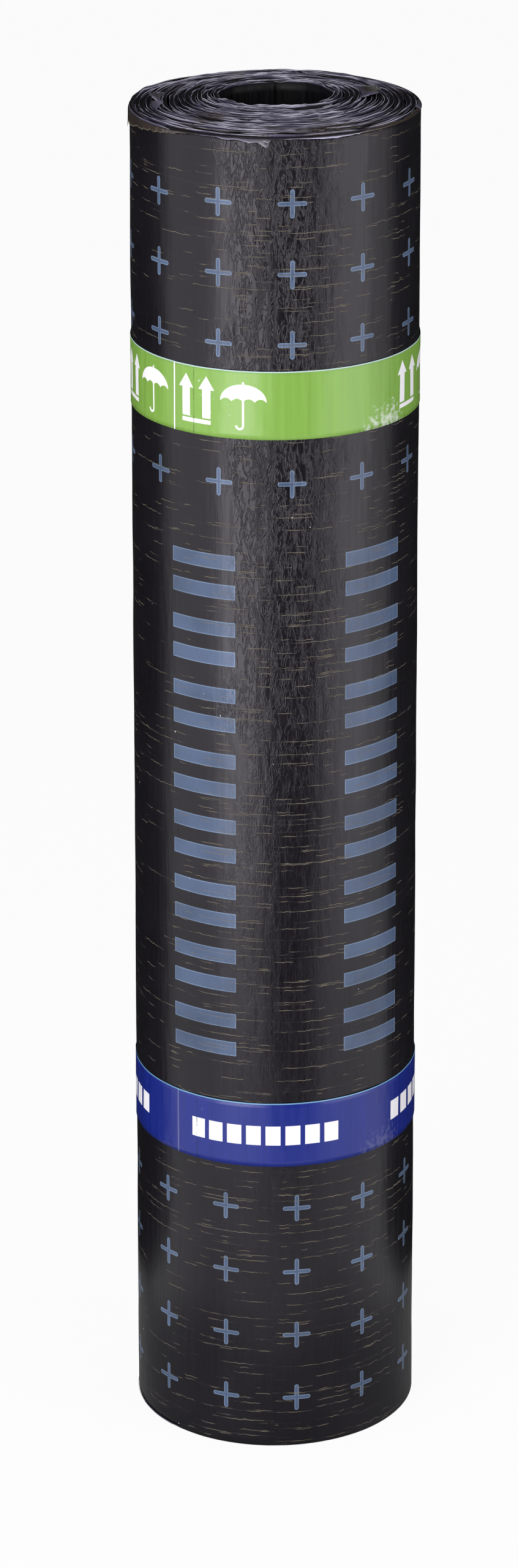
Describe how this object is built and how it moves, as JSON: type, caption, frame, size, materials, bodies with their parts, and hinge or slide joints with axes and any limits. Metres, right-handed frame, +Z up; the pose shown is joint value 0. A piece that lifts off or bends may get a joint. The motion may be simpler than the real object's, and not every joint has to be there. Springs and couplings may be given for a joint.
{
  "type": "roll of roofing felt",
  "caption": "Upright roll of black torch-on roofing felt with an open bore, slightly telescoped spiral turns on both ends, and green and blue tapes holding it shut.",
  "frame": {"origin": "on the axis of the bore, at the level of the floor that the roll stands on", "axes": "+Z up along the bore, -Y towards the front with the tapes' overlaps on its left, +Y towards the sheet's free edge at the back"},
  "size_m": [0.2084, 0.2104, 1.006],
  "materials": {
    "bitumen_felt": "glossy polymer film over black bitumen",
    "green_tape": "glossy printed film tape, green with white marks",
    "blue_tape": "glossy printed film tape, dark blue with white marks"
  },
  "bodies": {
    "root": {"felt_roll": "bitumen_felt", "green_band": "green_tape", "blue_band": "blue_tape"}
  },
  "joints": []
}
